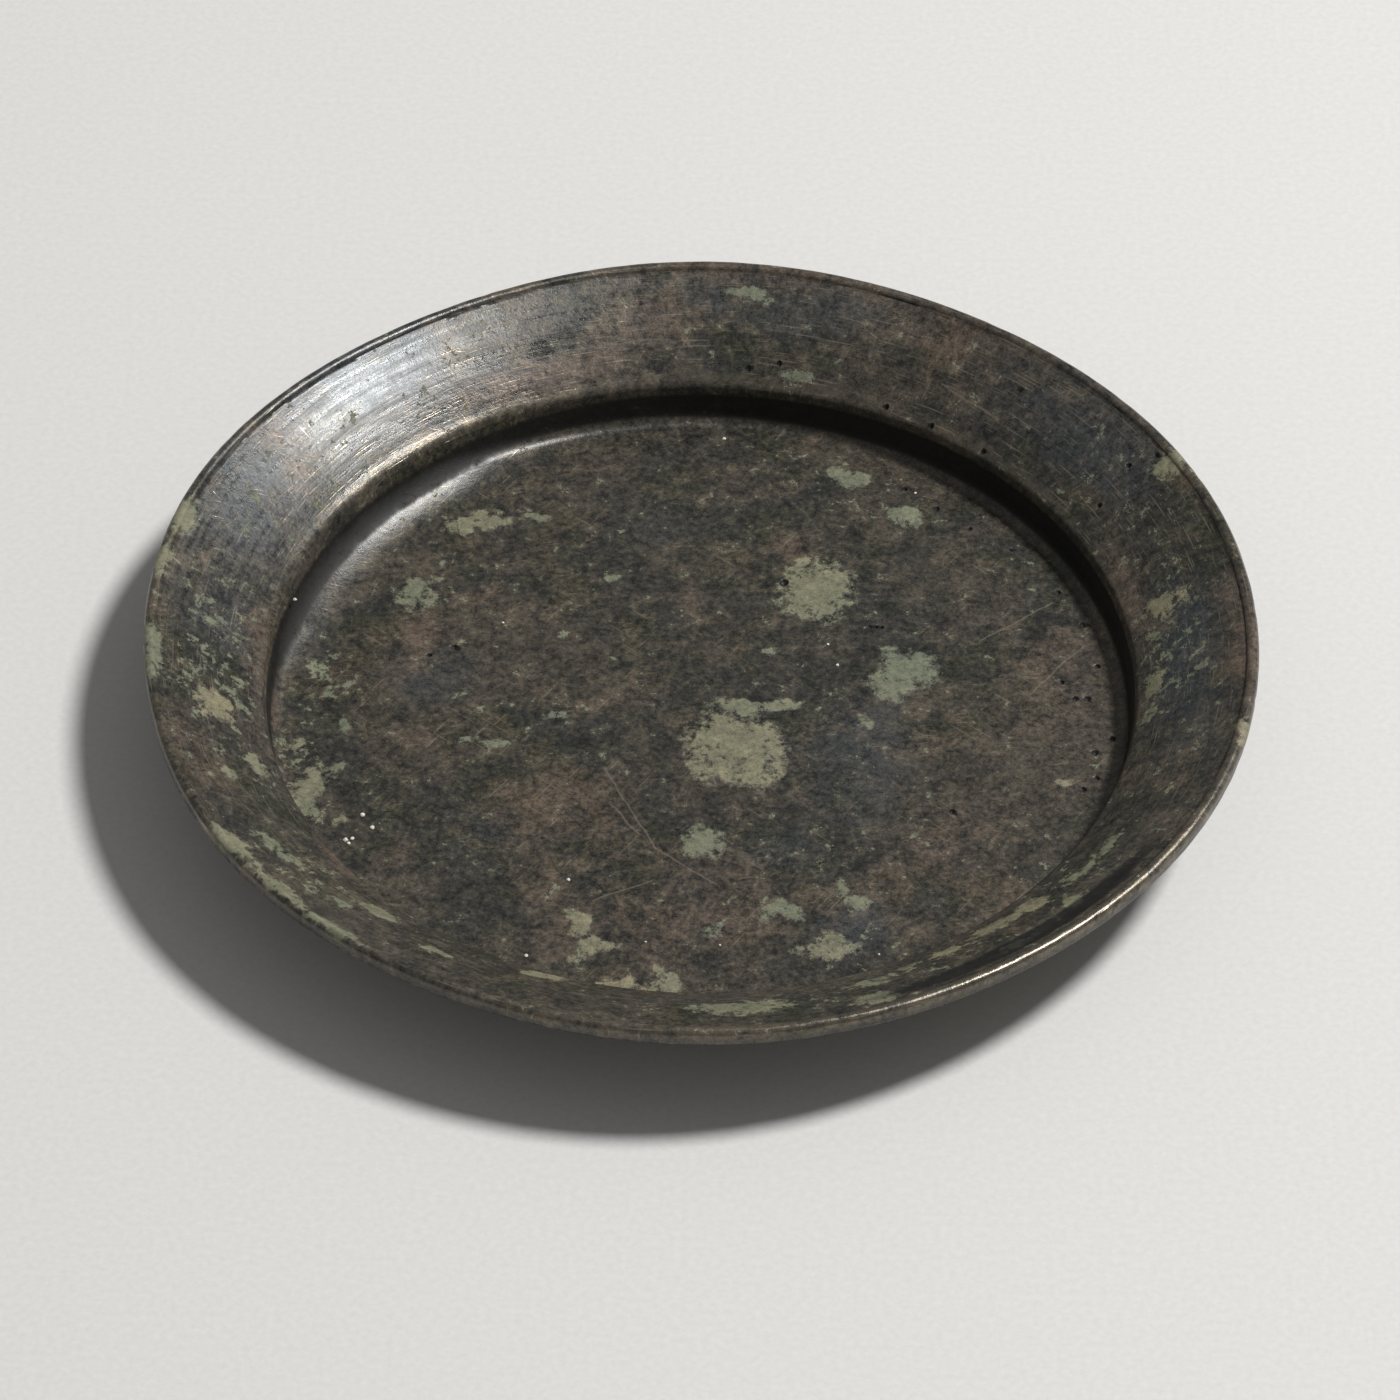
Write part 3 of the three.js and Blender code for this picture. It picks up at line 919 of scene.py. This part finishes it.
class DISH_OT_grains(bpy.types.Operator):
    """Set bright mineral grains into the patina"""

    bl_idname = "dish.grains"
    bl_label = "Mineral grains"

    def execute(self, context):
        dish = bpy.data.objects["dish"]
        points = read_points(dish.data)
        grains = []
        for number, (x, y, width) in enumerate(GRAINS):
            size = width * MM / 2
            height = top_height(points, x, y) + 0.25 * size
            bpy.ops.object.select_all(action="DESELECT")
            bpy.ops.mesh.primitive_ico_sphere_add(
                subdivisions=2,
                radius=size,
                location=(x * MM, y * MM, height),
                rotation=(0.4 * number, 0, number),
            )
            bpy.ops.object.transform_apply(location=True, rotation=True, scale=True)
            grain = active_mesh(f"grain_{number:02d}")
            corners = read_points(grain.data)
            middle = np.array([x * MM, y * MM, height])
            bumps = 1 + 0.35 * waves(corners, size, 2.0 + number)
            corners = middle + (corners - middle) * bumps[:, None] * (1, 1, 0.7)
            grain.data.vertices.foreach_set("co", corners.ravel())
            grains.append(grain)
        bpy.ops.object.select_all(action="DESELECT")
        for grain in grains:
            grain.select_set(True)
        context.view_layer.objects.active = grains[0]
        bpy.ops.object.join()
        piece = active_mesh("mineral_grains")
        bpy.ops.object.shade_flat()
        bpy.ops.object.transform_apply(location=True, rotation=True, scale=True)
        piece.data.materials.append(plain_material("mineral", shade(226, 222, 208), 0.75))
        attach(piece, BODY)
        return {"FINISHED"}


class DISH_OT_stage(bpy.types.Operator):
    """Lay the floor, hang the lamps and place the camera"""

    bl_idname = "dish.stage"
    bl_label = "Stage"

    def execute(self, context):
        stage = context.scene.dish_stage
        middle = Vector((0, 0, context.scene.dish_sizes.height))

        bpy.ops.object.select_all(action="DESELECT")
        bpy.ops.mesh.primitive_plane_add(size=stage.floor_size, location=(0, 0, -0.1 * MM))
        floor = active_mesh("floor")
        floor.data.materials.append(plain_material("floor_paint", stage.floor_colour, 0.9))

        world = context.scene.world or bpy.data.worlds.new("sky")
        context.scene.world = world
        world.use_nodes = True
        sky = world.node_tree.nodes["Background"]
        sky.inputs["Color"].default_value = (1, 1, 1, 1)
        sky.inputs["Strength"].default_value = stage.sky

        flat = stage.key_distance * math.cos(stage.key_elevation)
        away = Vector((
            flat * math.cos(stage.key_bearing),
            flat * math.sin(stage.key_bearing),
            stage.key_distance * math.sin(stage.key_elevation),
        ))
        facing = away.to_track_quat("Z", "Y").to_euler()
        bpy.ops.object.light_add(type="AREA", location=middle + away, rotation=facing)
        key = context.object
        key.name = "key_light"
        key.data.shape = "DISK"
        key.data.size = stage.key_size
        key.data.energy = stage.key_power

        away = Vector((0, -math.cos(stage.camera_elevation), math.sin(stage.camera_elevation)))
        bpy.ops.object.camera_add(location=middle + away * stage.camera_distance)
        camera = context.object
        pitch = math.pi / 2 - stage.camera_elevation - stage.camera_dip
        turn = Matrix.Rotation(pitch, 4, "X") @ Matrix.Rotation(stage.camera_roll, 4, "Z")
        camera.rotation_euler = turn.to_euler()
        camera.data.lens = stage.lens
        camera.data.sensor_width = 36
        camera.data.clip_start = 0.01
        context.scene.camera = camera
        context.scene.view_settings.view_transform = "Standard"
        return {"FINISHED"}


class DISH_PT_panel(bpy.types.Panel):
    """Buttons and values for the dish"""

    bl_idname = "DISH_PT_panel"
    bl_label = "Old dish"
    bl_space_type = "VIEW_3D"
    bl_region_type = "UI"
    bl_category = "Dish"

    def draw(self, context):
        for group in (context.scene.dish_sizes, context.scene.dish_surface, context.scene.dish_stage):
            box = self.layout.box()
            for name in group.__annotations__:
                box.prop(group, name)
        for operator in (DISH_OT_body, DISH_OT_grains, DISH_OT_stage):
            self.layout.operator(operator.bl_idname)


CLASSES = (DishSizes, DishSurface, DishStage, DISH_OT_body, DISH_OT_grains, DISH_OT_stage, DISH_PT_panel)


def register():
    for cls in CLASSES:
        bpy.utils.register_class(cls)
    bpy.types.Scene.dish_sizes = PointerProperty(type=DishSizes)
    bpy.types.Scene.dish_surface = PointerProperty(type=DishSurface)
    bpy.types.Scene.dish_stage = PointerProperty(type=DishStage)


def unregister():
    del bpy.types.Scene.dish_sizes
    del bpy.types.Scene.dish_surface
    del bpy.types.Scene.dish_stage
    for cls in reversed(CLASSES):
        bpy.utils.unregister_class(cls)


def main():
    register()
    bpy.ops.dish.body()
    bpy.ops.dish.grains()
    bpy.ops.dish.stage()


if __name__ == "__main__":
    main()
